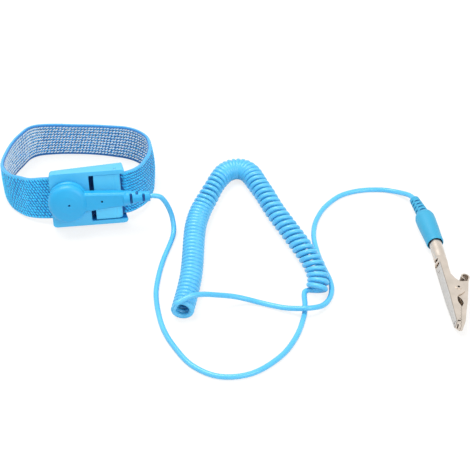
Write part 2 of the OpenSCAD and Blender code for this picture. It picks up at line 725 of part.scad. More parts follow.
module clip_rivet() {
    color("silver") in_clip() translate([rivet_at[0], rivet_at[1], 0]) difference() {
        union() {
            cylinder(h = 2 * wall + eps, r = rivet_r, center = true);
            for (s = [-1, 1]) translate([0, 0, s * (wall + 0.1)])
                cylinder(h = 0.2, r = 1.5, center = true);
        }
        cylinder(h = 4 * wall, r = rivet_hole_r, center = true);
    }
}

module clip_spring() {
    r = 1.75;
    wire = 0.5;
    n = 2.5;
    coil = [for (k = [0 : n * 12]) let (a = 30 * k)
        [rivet_at[0] + r * sin(a), rivet_at[1] - r * cos(a), -1.25 + 2.4 * k / (n * 12)]];
    low = coil[0];
    high = coil[len(coil) - 1];
    path = concat(
        [low - [8, 0.6, 0], low - [4, 0.2, 0]], coil, [high - [1, -0.3, 0], high - [2, -0.6, 0]]);
    color("silver") in_clip() spring_tube(path, wire);
}

// Thin wire of 6 sides along points that wind about z
module spring_tube(p, d) {
    skin([for (i = [0 : len(p) - 1]) let (
            t = heading(p, i),
            b = unit([0, 0, 1] - t[2] * t),
            a = cross(b, t))
        for (k = [0 : 5]) p[i] + d / 2 * (cos(60 * k) * a + sin(60 * k) * b)], 6);
}

module blue() {
    color([0.3, 0.74, 0.94]) children();
}

// ---------------------------------------------------------------- output

clasp_base();
cam_lever();
lever_pin();
snap_stud();
contact_plate();
elastic_band();
connector_cover();
connector_base();
solder_tag();
resistor_body();
resistor_leads();
lead_sheath_end();
lead_wire_end();
snap_socket();
socket_spring();
cord_lead();
curly_cord();
cord_tail();
plug_boot();
plug_pin();
plug_wire_end();
lantern_spring();
clip_body();
clip_jaw();
clip_rivet();
clip_spring();
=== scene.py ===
import math

import bmesh
import bpy
import numpy as np
from mathutils import Matrix, Vector


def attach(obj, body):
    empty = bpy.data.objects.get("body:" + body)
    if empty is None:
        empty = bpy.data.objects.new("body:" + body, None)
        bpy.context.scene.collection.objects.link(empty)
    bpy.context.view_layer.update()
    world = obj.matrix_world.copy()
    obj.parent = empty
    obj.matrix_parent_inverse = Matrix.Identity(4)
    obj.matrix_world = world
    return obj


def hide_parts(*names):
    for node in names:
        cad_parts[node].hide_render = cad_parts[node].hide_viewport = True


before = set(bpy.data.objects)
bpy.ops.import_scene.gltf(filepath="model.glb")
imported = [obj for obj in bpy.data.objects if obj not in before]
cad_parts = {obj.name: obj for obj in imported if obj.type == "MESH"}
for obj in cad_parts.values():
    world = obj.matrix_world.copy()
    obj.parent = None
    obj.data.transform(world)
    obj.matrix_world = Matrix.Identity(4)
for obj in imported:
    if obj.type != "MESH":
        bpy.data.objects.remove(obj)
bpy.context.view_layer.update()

MM = 0.001
BENCH = Vector((0.14, 0.7, 0))  # where the layout's zero lies from the part's origin, in mm

# ------------------------------------------------------------------ sizes, in mm, as in the CAD source

BAND_W, BAND_T = 20.8, 2.0
CORD_D = 2.4
LEAN, CLASP_TURN, CLASP_ROLL = 17.3, 5.5, 1.0
CLASP_AT = Vector((7.35, -24.4, 15.55))
CLASP_END, CLASP_H, RAIL = 17.6, 26.4, 2.0  # half the clasp's length, its height, the bars beside its window
BAND_FRONT, BAND_DROP = -5.5, -0.4
WINDOW_FROM, LEVER_FACE, LEVER_GROOVE = 0.7, -0.7, 12.15
STUD_AT = Vector((-9.35, 0.65, 0))
NECK_TURN, NECK_L, CORD_Z = 0.4, 37.9, 4.6
NECK_RELIEF_FROM, NECK_RELIEF_R, NECK_RELIEF_TAPER = 25.5, 3.4, 0.0887
PLUG_AT, PLUG_TURN = Vector((167.6, -43.3, 4.6)), -85.5
BOOT_L, BOOT_OUT, BOOT_TURN = 21.3, 0.6, 3.8
BOOT_MOUTH_R = 3.5
BOOT_RELIEF_L, BOOT_RELIEF_TURN, BOOT_RELIEF_R, BOOT_RELIEF_TAPER = 12.0, 10.4, 3.1, 0.0645
CLIP_ROLL = -8.0

# bottom outer edge of the band: x, y, height, lean in degrees, bulge
BAND_EDGE = [
    (-17.7, -23, 2.4, 16, 0), (-23.3, -20.6, 1.4, 11, 0), (-27.5, -17.1, 0.7, 7, 0),
    (-31.5, -12.7, 0.3, 0, 0.2), (-35.2, -5.6, 0, -2, 0.4), (-37.5, 2.2, 0, 4, 0.4),
    (-36.7, 9.8, 0, 5, 0.2), (-34.6, 16.3, 0, 4, 0), (-32, 22.1, 0, 4, 0), (-29.1, 28, 0, 6, 0),
    (-24.1, 31.6, 0, 7.5, 0), (-15.2, 33.1, 0, 9, 0), (-4, 33.3, 0, 10.5, 0), (5.5, 32.6, 0, 9.5, 0),
    (14, 31.1, 0, 7.5, 0), (22, 28.9, 0, 4.5, 0.2), (28.3, 25, 0, 2, 0.6), (32.9, 19, 0, 0, 1),
    (35.3, 11, 0, 1, 1.1), (36, 4, 0.1, 4, 0.8), (35.6, -1, 0.4, 7, 0.4), (34.7, -6.6, 1.1, 10, 0.2),
    (32.9, -11.7, 2.2, 13, 0), (30.5, -15.9, 3.3, 15, 0), (27.7, -19, 3.8, 17, 0),
]
LEAD_ROUTE = [
    (40.6, -25, 17.3), (42.6, -25.1, 15), (44.3, -25.5, 11.6), (45.6, -26.3, 8), (46.4, -28, 4.9),
    (46.8, -30.4, 2.8), (46.6, -33.6, 1.5), (46, -37, 1.25), (45, -41.5, 1.2), (42.8, -51, 1.2),
    (41.2, -61.5, 1.2), (40.5, -73.5, 1.2), (41.9, -85, 1.2), (44.7, -96.2, 1.2), (49.4, -106.3, 1.2),
    (57.5, -117.8, 1.2), (69, -124.2, 1.2), (82.5, -122.5, 1.2), (94.4, -113, 1.2), (101.4, -101.6, 1.2),
    (105.2, -89.6, 1.2), (106.2, -81.5, 1.2), (106.1, -75.8, 1.2), (106.5, -72.7, 1.2),
]
TAIL_ROUTE = [
    (55.2, -87.3, 11.4), (57.3, -86.4, 11.6), (60, -85.1, 11), (63.2, -83.5, 9.7), (66.8, -82, 8),
    (71.1, -80.5, 6.2), (75.5, -79.3, 4.4), (80.8, -79, 2.6), (86.5, -80, 1.5), (91.7, -81.8, 1.5),
    (97.3, -84.1, 2.2), (102.5, -85.8, 3.4), (106.3, -86.4, 4.1), (110.1, -85.4, 3.6), (113.6, -82.9, 2.4),
    (116.3, -79.2, 1.6), (118, -74.6, 1.25), (118.6, -69.6, 1.2), (117.9, -64.2, 1.2), (116.2, -58.1, 1.2),
    (114.3, -50.5, 1.2), (112.8, -41.4, 1.2), (112.3, -33.4, 1.2), (113.5, -24.6, 1.2), (117, -15.5, 1.2),
    (121.4, -9, 1.2), (126.5, -3.9, 1.2), (132.6, -0.8, 1.2), (139.6, 0.8, 1.2), (147.5, 0.9, 1.2),
    (152.6, -0.6, 1.5), (156.4, -3.2, 2.5), (159.4, -6.4, 3.8),
]
COIL_AXIS = [
    (111.9, -71.8), (112.4, -66), (110.7, -57.2), (105.2, -43.7), (96.4, -24.3), (93.2, -16.6),
    (89.8, -7.4), (86.4, 0.6), (83.7, 7), (81.5, 10.3), (78.5, 12.3), (75.1, 12.4), (72.1, 10.9),
    (69.7, 8.3), (66.9, 3), (64.8, -2.4), (62.7, -8.8), (60.3, -16.1), (58.3, -24), (57.1, -32),
    (56.6, -41.5), (56.4, -54), (56, -64.5), (54.9, -75), (52.8, -88.8),
]

# ------------------------------------------------------------------ what is finer here than in the source

# outside diameter, axial spacing and lean (tops forward along the axis) of the curls, along its share
COIL_OD = [(0, 10), (0.3, 10), (0.37, 10.2), (0.42, 10.7), (0.5, 10.4), (0.55, 9.6), (0.6, 10.4),
           (0.66, 10.5), (0.75, 10.2), (1, 10.2)]
COIL_PITCH = [(0, 3.7), (0.05, 3.6), (0.3, 3.5), (0.38, 3.1), (0.42, 2.4), (0.45, 1.6), (0.5, 1.6),
              (0.54, 3.0), (0.58, 3.5), (0.62, 3.4), (0.65, 2.6), (0.7, 2.42), (1, 2.42)]
COIL_LEAN = [(0, -42), (0.06, -38), (0.14, -30), (0.28, -22), (0.38, -12), (0.46, 0), (0.54, 18),
             (0.6, 28), (0.66, 24), (0.72, 14), (0.95, 12), (1, 5)]
COIL_STEPS = 24  # points a turn

BAND_STEP = 0.5  # from ring to ring of the band's mesh
BAND_JOINT = (-0.9, -0.6)  # where the band's two ends stop, along the clasp
BEAD_R = 0.93  # the selvages' half-round
SELVAGE_RIB = 0.8  # from rib to rib along them
OUTER_ROWS = np.linspace(1.1, BAND_W - 1.1, 14)
INNER_FIRST, INNER_ROW = 2.3, 1.89  # first row of stitches on the inner side, and from row to row
INNER_ROWS = INNER_FIRST + INNER_ROW * np.arange(10)
STITCH_FROM_END = 0.8
LOOSE_ALONG, LOOSE_ACROSS = 0.07, 0.042  # how far stitches stray, as a share of their spacing
UNEVENNESS = 5  # degrees

MARKS = ((0.6, 6, 8.85), (15.6, 5, 7.05))  # round marks: place along the neck, heights from and to
MARK_R = 0.75
SLOT_FADE = 0.35  # depth over which a slot's painted shade darkens to full
FLAP_TO = 11  # where the lever's flap runs into its barrel; past it, the painted shade starts deeper
MOUTH_SHADE = 6  # how deep the painted shade in the boot's mouth reaches


# ------------------------------------------------------------------ curves and frames

def smooth_run(points, steps):
    """A smooth curve through all the points, with that many steps between each two."""
    p = [np.array(q, float) for q in points]
    p = [2 * p[0] - p[1]] + p + [2 * p[-1] - p[-2]]
    run = []
    for a, b, c, d in zip(p, p[1:], p[2:], p[3:]):
        for k in range(steps):
            t = k / steps
            run.append(0.5 * (2 * b + (c - a) * t + (2 * a - 5 * b + 4 * c - d) * t * t
                              + (3 * b - a - 3 * c + d) * t ** 3))
    run.append(p[-2])
    return np.array(run)


def run_lengths(run):
    """Length from the start to each point."""
    return np.concatenate([[0], np.cumsum(np.linalg.norm(np.diff(run, axis=0), axis=1))])


def headings(run):
    """The curve's direction at each point."""
    t = np.gradient(run, axis=0)
    return t / np.linalg.norm(t, axis=1)[:, None]


def place(at, *turns):
    """A frame at that point, turned by each (axis, degrees) in order."""
    m = Matrix.Translation(at)
    for axis, degrees in turns:
        m = m @ Matrix.Rotation(math.radians(degrees), 4, axis)
    return m


IN_CLASP = place(BENCH + CLASP_AT, ("Z", CLASP_TURN), ("X", 90 - LEAN), ("Z", CLASP_ROLL))
IN_CONNECTOR = IN_CLASP @ place(STUD_AT, ("Z", NECK_TURN))
IN_PLUG = place(BENCH + PLUG_AT, ("Z", PLUG_TURN))
IN_BOOT = place(BENCH + PLUG_AT, ("Z", PLUG_TURN + BOOT_TURN))
BOOT_BACK = IN_BOOT @ Vector((BOOT_OUT - BOOT_L, 0, 0))
IN_RELIEF = place(BOOT_BACK, ("Z", PLUG_TURN + BOOT_RELIEF_TURN))
IN_CLIP = IN_PLUG @ Matrix.Rotation(math.radians(CLIP_ROLL), 4, "X")


def coil_run():
    """Points of the curly stretch, in mm: it starts under the right end and ends near the left end's top."""
    axis = smooth_run([(x, y, 0) for x, y in COIL_AXIS], 6)
    s = run_lengths(axis)
    long = s[-1]

    def at(q):
        return np.array([np.interp(q, s, axis[:, 0]), np.interp(q, s, axis[:, 1]), 0])

    def along(q, table):
        return np.interp(q / long, [a for a, _ in table], [b for _, b in table])

    fine = np.linspace(0, long, 2000)
    turns = np.concatenate([[0], np.cumsum(np.diff(fine) / along((fine[1:] + fine[:-1]) / 2, COIL_PITCH))])
    whole = math.floor(turns[-1]) + 1 / 3
    turns *= whole / turns[-1]
    run = []
    for k in range(int(whole * COIL_STEPS) + 1):
        q = np.interp(k / COIL_STEPS, turns, fine)
        r = (along(q, COIL_OD) - CORD_D) / 2
        t = at(min(q + 2, long)) - at(max(q - 2, 0))
        t /= np.linalg.norm(t)
        side = np.array([t[1], -t[0], 0])
        a = math.radians(360 / COIL_STEPS * k - 90)
        lean = math.radians(along(q, COIL_LEAN))
        up = math.cos(lean) * np.array([0, 0, 1]) + math.sin(lean) * t
        run.append(at(q) + r * math.cos(a) * side + (r + r * math.sin(a)) * up
                   + np.array([0, 0, CORD_D / 2]))
    return np.array(run)


def linked(name, data):
    """A new object in the scene, at the origin."""
    piece = bpy.data.objects.new(name, data)
    bpy.context.scene.collection.objects.link(piece)
    return piece


# ------------------------------------------------------------------ camera, first of all

camera = linked("Camera", bpy.data.cameras.new("Camera"))
camera.data.sensor_width = 36
camera.data.lens = 95.74
camera.location = (0.07564, -0.48086, 0.3772)
camera.rotation_euler = (math.radians(50), 0, 0)
bpy.context.scene.camera = camera
bpy.context.scene.view_settings.view_transform = "Standard"


# ------------------------------------------------------------------ node trees

class Signal:
    """A socket that adds a Math node to its tree for each Python operator used on it."""

    def __init__(self, tree, socket):
        self.tree, self.socket = tree, socket

    def math(self, operation, *others):
        return math_node(self.tree, operation, self, *others)

    def __add__(self, other):
        return self.math("ADD", other)

    def __sub__(self, other):
        return self.math("SUBTRACT", other)

    def __rsub__(self, other):
        return math_node(self.tree, "SUBTRACT", other, self)

    def __mul__(self, other):
        return self.math("MULTIPLY", other)

    __radd__ = __add__
    __rmul__ = __mul__


def plug_in(tree, slot, value):
    """Give an input its value: a link for a signal or a socket, else a constant."""
    if isinstance(value, Signal):
        tree.links.new(value.socket, slot)
    elif isinstance(value, bpy.types.NodeSocket):
        tree.links.new(value, slot)
    elif hasattr(slot.default_value, "__len__") and len(slot.default_value) == 4 and len(value) == 3:
        slot.default_value = (*value, 1)
    else:
        slot.default_value = value


def add_node(tree, kind, settings=None, **sockets):
    """A node: its settings first, then its sockets' values or links.

    A space in a socket's name is written as _, and i6 is the input numbered 6."""
    node = tree.nodes.new(kind)
    for key, value in (settings or {}).items():
        setattr(node, key, value)
    for key, value in sockets.items():
        numbered = key[0] == "i" and key[1:].isdigit()
        plug_in(tree, node.inputs[int(key[1:]) if numbered else key.replace("_", " ")], value)
    return node


def math_node(tree, operation, *values):
    """The signal of a Math node on those values."""
    node = add_node(tree, "ShaderNodeMath", {"operation": operation},
                    **{f"i{number}": value for number, value in enumerate(values)})
    return Signal(tree, node.outputs[0])


def rgb(r, g, b):
    """A colour given as the eight-bit numbers it shows on a screen."""
    return tuple(((c / 255 + 0.055) / 1.055) ** 2.4 if c > 10 else c / 255 / 12.92 for c in (r, g, b))


class Finish:
    """One material, built node by node."""

    def __init__(self, name):
        self.material = bpy.data.materials.new(name)
        self.material.use_nodes = True
        self.tree = self.material.node_tree
        self.tree.nodes.clear()
        self.object = self.node("ShaderNodeTexCoord", out="Object")

    def node(self, kind, settings=None, out=0, **sockets):
        return Signal(self.tree, add_node(self.tree, kind, settings, **sockets).outputs[out])

    def noise(self, scale, detail=2, rough=0.5, vector=None):
        return self.node("ShaderNodeTexNoise", Vector=vector or self.object, Scale=scale, Detail=detail,
                         Roughness=rough)

    def turned(self, scale, rotation=(0, 0, 0)):
        """The object's own coordinates, scaled and turned."""
        return self.node("ShaderNodeMapping", Vector=self.object, Scale=scale, Rotation=rotation)

    def painted(self, name):
        """The number that the mesh carries under that name."""
        return self.node("ShaderNodeAttribute", {"attribute_name": name}, out="Fac")

    def place_in(self, own, letter):
        """A shading spot's coordinate in one of the part's own frames, in mm."""
        to_own = own.inverted()
        spot = self.turned((1 / MM, 1 / MM, 1 / MM))
        spot = self.node("ShaderNodeMapping", Vector=spot, Rotation=to_own.to_euler("XYZ"),
                         Location=to_own.to_translation())
        return self.node("ShaderNodeSeparateXYZ", Vector=spot, out=letter)

    def mix(self, factor, a, b):
        return self.node("ShaderNodeMix", {"data_type": "RGBA"}, out=2, i0=factor, i6=a, i7=b)

    def span(self, value, low, high, to_low=0.0, to_high=1.0):
        """value, carried from the range low..high to the range to_low..to_high and held there."""
        return self.node("ShaderNodeMapRange", Value=value, From_Min=low, From_Max=high,
                         To_Min=to_low, To_Max=to_high)

    def bump(self, height, strength, distance, normal=None):
        more = {"Normal": normal} if normal else {}
        return self.node("ShaderNodeBump", Height=height, Strength=strength, Distance=distance, **more)

    def show(self, shader):
        """The finished material, with that shader as its surface."""
        add_node(self.tree, "ShaderNodeOutputMaterial", Surface=shader)
        return self.material

    def surface(self, **sockets):
        return self.show(self.node("ShaderNodeBsdfPrincipled", **sockets))


# ------------------------------------------------------------------ materials

def moulded_plastic(name, colour, deep, roughness, grain, shade_and_mark_colour):
    """Satin moulding with a soft cloud of tone; the mesh says where its slots take a painted shade, and where
    marks take the same dark colour.
    """
    f = Finish(name)
    cloud = f.noise(55, 3)
    fine = f.noise(2200, 2, 0.6)
    scuff = f.span(f.noise(90, 6, 0.75, vector=f.turned((9, 1.2, 4), (0.3, 0.2, 0.5))), 0.62, 0.72)
    tone = f.mix(f.span(cloud, 0.3, 0.7), deep, colour)
    tone = f.mix(scuff * 0.05, tone, rgb(190, 228, 246))
    return f.surface(
        Base_Color=f.mix(f.painted("painted_shade_and_marks"), tone, shade_and_mark_colour),
        Roughness=f.span(cloud, 0.3, 0.7, roughness - 0.03, roughness + 0.04) + scuff * 0.06,
        IOR=1.5,
        Coat_Weight=0.12,
        Coat_Roughness=0.25,
        Normal=f.bump(fine, grain, 0.00003, f.bump(cloud, 0.1, 0.0002)),
    )


def cord_jacket(name, colour, deep):
    """Smooth jacket with a faint cloud of tone and sheen."""
    f = Finish(name)
    cloud = f.noise(70, 3)
    fine = f.noise(1800, 3, 0.6)
    return f.surface(
        Base_Color=f.mix(f.span(cloud, 0.32, 0.68), deep, colour),
        Roughness=f.span(cloud, 0.3, 0.7, 0.27, 0.36),
        IOR=1.5,
        Coat_Weight=0.2,
        Coat_Roughness=0.2,
        Normal=f.bump(fine, 0.25, 0.00002),
    )


def yarn(name, colour, deep, roughness):
    """Yarn whose stitches differ a little in shade."""
    f = Finish(name)
    fibre = f.noise(5200, 3, 0.7)
    tone = f.mix(f.span(f.painted("shade"), 0.0, 1.0), deep, colour)
    return f.surface(
        Base_Color=f.mix(f.span(fibre, 0.35, 0.7, 0.0, 0.35), tone, deep),
        Roughness=f.span(fibre, 0.3, 0.7, roughness - 0.08, roughness + 0.08),
        Sheen_Weight=0.3,
        Sheen_Roughness=0.5,
        Normal=f.bump(fibre, 0.5, 0.00006),
    )


def band_ground(name):
    """The band's own cloth: selvage ribs on its edges; between the stitches its own darker blue, deepened as
    painted shade, darkest between the inner rows; painted shade on the selvages' inner halves and where the
    band runs inside and beside the clasp.
    """
    f = Finish(name)
    across, along, inner, painted_clasp_shade = (f.painted(n) for n in ("across", "along", "inner", "painted_clasp_shade"))
    from_middle = (across - BAND_W / 2).math("ABSOLUTE")
    edge = f.span(from_middle, BAND_W / 2 - 1.3, BAND_W / 2 - 0.9)
    ribs = (along * (2 * math.pi / SELVAGE_RIB)).math("SINE")
    rows = ((across - INNER_FIRST) * (2 * math.pi / INNER_ROW) + 0.9).math("COSINE")
    fibre = f.noise(3800, 3, 0.7)
    # painted shade, partly: the cloth's own blue, darker between the stitches
    outer_tone_and_gap_shade = f.mix(f.span(fibre, 0.3, 0.7), rgb(6, 112, 180), rgb(24, 138, 204))
    # painted shade in dark troughs between the inner rows of stitches
    inner_tone_and_row_shade = f.mix(f.span(rows, -0.9, 0.5), rgb(4, 70, 134), rgb(40, 156, 226))
    cloth = f.mix(inner, outer_tone_and_gap_shade, inner_tone_and_row_shade)
    edge_tone = f.mix(f.span(ribs + fibre, -0.6, 1.6), rgb(56, 158, 218), rgb(86, 188, 238))
    # painted shade on the selvages' inner halves
    painted_edge_shade = f.mix(f.span(inner, 0.45, 0.7), edge_tone, rgb(38, 128, 200))
    return f.surface(
        # painted shade where the band runs inside and just beside the clasp
        Base_Color=f.mix(painted_clasp_shade, f.mix(edge, cloth, painted_edge_shade), rgb(10, 92, 160)),
        Roughness=f.span(fibre, 0.3, 0.7, 0.6, 0.8),
        Sheen_Weight=0.4,
        Sheen_Roughness=0.5,
        Normal=f.bump(fibre, 0.4, 0.00008, f.bump(ribs, 0.35, 0.00012)),
    )


def plated(name, colour, deep, roughness, streak, marked=None):
    """Metal drawn out along the streak; marked adds more to its colour."""
    f = Finish(name)
    cloud = f.noise(140, 4)
    drawn = f.noise(60, 5, 0.7, vector=f.turned(streak))
    tone = f.mix(f.span(cloud, 0.3, 0.75), deep, colour)
    return f.surface(
        Base_Color=marked(f, tone) if marked else tone,
        Metallic=1.0,
        Roughness=f.span(drawn, 0.3, 0.7, roughness - 0.06, roughness + 0.08),
        Normal=f.bump(drawn, 0.15, 0.00002),
    )


def clip_reflection_shade_and_wear(f, tone):
    """The clip's back in a cooler grey as a painted reflection of the light it faces, a painted shade line
    along its fold, and a worn tip.
    """
    x, y = f.place_in(IN_CLIP, "X"), f.place_in(IN_CLIP, "Y")
    folded = f.span(x, 15.5, 17)
    # painted shade along the fold
    tone = f.mix(f.span(y, -1.75, -2.0) * folded * 0.55, tone, rgb(96, 86, 78))
    # painted reflection on the back
    tone = f.mix(f.span(y, -2.12, -2.17) * folded, tone, rgb(196, 194, 190))
    worn = f.span(f.noise(700, 2, 0.6), 0.56, 0.6) * f.span(x, 51.5, 53)
    return f.mix(worn, tone, rgb(70, 62, 58))


def resistor_paint(name):
    """Lacquered body with the colour code's rings for one megohm."""
    f = Finish(name)
    x = f.place_in(IN_CONNECTOR, "X")
    fine = f.noise(900, 2)
    tone = f.mix(f.span(fine, 0.3, 0.7), rgb(206, 178, 128), rgb(218, 192, 144))
    for at, paint in ((13.3, rgb(110, 62, 30)), (14.6, rgb(24, 22, 22)), (15.7, rgb(40, 130, 62)),
                      (17.9, rgb(196, 152, 60))):
        tone = f.mix((x - at).math("ABSOLUTE").math("LESS_THAN", 0.28), tone, paint)
    return f.surface(Base_Color=tone, Roughness=f.span(fine, 0.3, 0.7, 0.3, 0.4),
                     Normal=f.bump(fine, 0.2, 0.00003))


# after each blue moulding's two tones comes the dark colour of the painted shade in its slots
BLUE = moulded_plastic("satin blue moulding", rgb(80, 194, 240), rgb(70, 188, 236), 0.36, 0.25,
                       rgb(12, 112, 184))
# the clasp's blue made lighter for the lever: painted light, making up for the shade that falls on its flap
BLUE_WITH_PAINTED_LIGHT = moulded_plastic("blue moulding with painted light", rgb(94, 212, 252), rgb(86, 206, 248), 0.36, 0.25,
                             rgb(12, 112, 184))
DEEP_BLUE = moulded_plastic("deeper blue moulding", rgb(30, 170, 226), rgb(22, 162, 220), 0.42, 0.25,
                            rgb(0, 78, 150))
BOOT_BLUE = moulded_plastic("soft blue moulding", rgb(52, 166, 206), rgb(42, 156, 198), 0.5, 0.4,
                            rgb(12, 92, 152))
JACKET = cord_jacket("blue cord jacket", rgb(92, 194, 240), rgb(82, 186, 234))
BLUE_YARN = yarn("blue elastic yarn", rgb(50, 208, 255), rgb(24, 194, 250), 0.55)
LINING_YARN = yarn("blue lining yarn", rgb(70, 200, 252), rgb(48, 176, 240), 0.6)
SILVER_YARN = yarn("silver conductive yarn", rgb(250, 254, 255), rgb(226, 242, 252), 0.45)
GROUND = band_ground("knitted band ground")
CLIP_NICKEL = plated("clip's nickel plate", rgb(224, 212, 200), rgb(204, 194, 182), 0.34, (1, 9, 9),
                     clip_reflection_shade_and_wear)
NICKEL = plated("satin nickel plate", rgb(222, 210, 198), rgb(204, 194, 182), 0.34, (1, 9, 9))
BRIGHT = plated("bright steel", rgb(214, 214, 214), rgb(190, 190, 192), 0.25, (6, 1, 6))
BRASS = plated("plain brass", rgb(214, 176, 104), rgb(190, 148, 80), 0.3, (3, 3, 3))
COPPER = plated("tinned copper", rgb(214, 150, 112), rgb(188, 122, 88), 0.3, (3, 9, 3))
LACQUER = resistor_paint("resistor lacquer")


# ------------------------------------------------------------------ pieces

def belongs(piece, body, slot, *nodes):
    """The piece rides on that body in place of those CAD nodes; slot is not used."""
    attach(piece, body)
    if nodes:
        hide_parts(*nodes)


def new_piece(name, mesh, material):
    """An object at the origin with its place in its mesh."""
    mesh.materials.clear()
    mesh.materials.append(material)
    return linked(name, mesh)


def settled(piece):
    """Work the piece's modifiers into a plain mesh."""
    graph = bpy.context.evaluated_depsgraph_get()
    mesh = bpy.data.meshes.new_from_object(piece.evaluated_get(graph))
    piece.modifiers.clear()
    old, piece.data = piece.data, mesh
    mesh.name = piece.name
    bpy.data.meshes.remove(old)


def shaded(mesh, smooth_below):
    """Smooth, with edges sharp that turn by more than that many degrees."""
    mesh.polygons.foreach_set("use_smooth", [True] * len(mesh.polygons))
    mesh.set_sharp_from_angle(angle=math.radians(smooth_below))


def eased_copy(name, node, own, voxel, rounds, faces, material, painted_shade_and_marks):
    """A CAD solid's copy with its edges eased: remeshed in its own frame, so that its flats stay flat.

    The last argument gives, for points of that frame in mm, how dark the painted shade is in a slot there,
    from 0 to 1, and 1 on the neck's two round marks."""
    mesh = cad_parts[node].data.copy()
    b = bmesh.new()
    b.from_mesh(mesh)
    b.transform(own.inverted() @ Matrix.Scale(1 / MM, 4))
    bmesh.ops.remove_doubles(b, verts=b.verts, dist=0.002)
    b.to_mesh(mesh)
    b.free()
    if "custom_normal" in mesh.attributes:
        mesh.attributes.remove(mesh.attributes["custom_normal"])
    piece = new_piece(name, mesh, material)
    remesh = piece.modifiers.new("remesh", "REMESH")
    remesh.mode, remesh.voxel_size, remesh.adaptivity = "VOXEL", voxel, 0
    ease = piece.modifiers.new("ease", "SMOOTH")
    ease.factor, ease.iterations = 0.5, rounds
    settled(piece)
    thin = piece.modifiers.new("thin", "DECIMATE")
    thin.ratio = min(1, faces / max(1, 2 * len(piece.data.polygons)))
    settled(piece)
    spots = np.empty(3 * len(piece.data.vertices))
    piece.data.vertices.foreach_get("co", spots)
    layer = piece.data.attributes.new("painted_shade_and_marks", "FLOAT", "POINT")
    layer.data.foreach_set("value", np.clip(painted_shade_and_marks(*spots.reshape(-1, 3).T), 0, 1).astype(np.float32))
    piece.data.transform(Matrix.Scale(MM, 4) @ own)
    piece.data.materials.clear()
    piece.data.materials.append(material)
    shaded(piece.data, 50)
    return piece


# ------------------------------------------------------------------ cord

def cord_points():
    """The cord's middle line from the connector through the curls to the boot, in mm."""
    stub = 1.5  # straight stretch on each side of a strain relief's end
    curls = coil_run()
    into = curls[1] - curls[0]
    into = np.array([into[0], into[1], 0]) / np.linalg.norm(into[:2])
    out = (curls[-1] - curls[-2]) / np.linalg.norm(curls[-1] - curls[-2])
    neck_x = np.array((IN_CONNECTOR.to_3x3() @ Vector((1, 0, 0))))
    start = np.array(IN_CONNECTOR @ Vector((NECK_L, 0, CORD_Z)) - BENCH)
    first = curls[0] - CORD_D * into
    lead = smooth_run([start - stub * neck_x, start, start + stub * neck_x, *LEAD_ROUTE,
                       first - 1.2 * into, first], 5)
    relief_x = np.array(IN_RELIEF.to_3x3() @ Vector((1, 0, 0)))
    goal = np.array(IN_RELIEF @ Vector((-BOOT_RELIEF_L, 0, 0)) - BENCH)
    last = curls[-1] + CORD_D * out
    tail = smooth_run([last, last + out, *TAIL_ROUTE,
                       goal - stub * relief_x, goal, goal + stub * relief_x], 4)
    run = np.concatenate([lead, curls, tail])
    keep = np.concatenate([[True], np.linalg.norm(np.diff(run, axis=0), axis=1) > 0.05])
    return run[keep]


def make_cord():
    run = (cord_points() + np.array(BENCH)) * MM
    data = bpy.data.curves.new("cord", "CURVE")
    data.dimensions = "3D"
    data.bevel_depth = CORD_D / 2 * MM
    data.bevel_resolution = 3
    data.use_fill_caps = True
    line = data.splines.new("POLY")
    line.points.add(len(run) - 1)
    line.points.foreach_set("co", np.column_stack([run, np.ones(len(run))]).ravel())
    line.use_smooth = True
    data.materials.append(JACKET)
    cord = linked("cord", data)
    belongs(cord, "root", "blue_cord", "cord_lead", "curly_cord", "cord_tail")


make_cord()


# ------------------------------------------------------------------ wristband

def band_path():
    """The band's bottom outer edge, with its heading, outward and upward directions at each place."""
    edge = BAND_DROP - BAND_W / 2
    first, last = BAND_JOINT
    leaving, coming = ([(*(IN_CLASP @ Vector((x, edge, BAND_FRONT)) - BENCH), LEAN, 0) for x in places]
                       for places in ((first, -6, -12, -CLASP_END), (CLASP_END, 12, 6, last)))
    run = smooth_run(leaving + BAND_EDGE + coming, 12)
    s = run_lengths(run[:, :3])
    even = np.linspace(0, s[-1], int(s[-1] / BAND_STEP))
    run = np.column_stack([np.interp(even, s, run[:, k]) for k in range(5)])
    t = headings(np.column_stack([run[:, :2], np.zeros(len(run))]))
    out = np.column_stack([-t[:, 1], t[:, 0], np.zeros(len(run))])
    tilt = np.radians(run[:, 3])[:, None]
    z = np.array([0, 0, 1.0])
    face = np.cos(tilt) * out + np.sin(tilt) * z
    up = np.cos(tilt) * z - np.sin(tilt) * out
    p = run[:, :3].copy()
    p[:, 2] = np.maximum(p[:, 2], BAND_T * np.sin(tilt[:, 0]))
    return {"edge": p + np.array(BENCH), "along": t, "out": face, "up": up, "bulge": run[:, 4], "run": even}


def band_point(path, q, across, depth):
    """A spot on the band with its outward and forward directions.

    q is the place along it, across is up from its lower edge and depth is in from its outer face."""
    def at(name):
        values = path[name]
        if values.ndim == 1:
            return np.interp(q, path["run"], values)
        return np.array([np.interp(q, path["run"], values[:, k]) for k in range(3)])

    face = at("out")
    spot = at("edge") + across * at("up") + (at("bulge") * math.sin(math.pi * across / BAND_W) - depth) * face
    return spot, face, at("along")


def under_clasp(spot):
    """How far a spot on the band lies inside the clasp, from 0 to 1, fading over a millimetre: no stitches
    there, and painted shade on the band inside and just beside the clasp.
    """
    own = IN_CLASP.inverted() @ Vector(spot)
    end = CLASP_END if own.x < 0 else CLASP_END - 1.9
    return 0.0 if own.z < -12 else min(1.0, max(0.0, end + 1 - abs(own.x)))


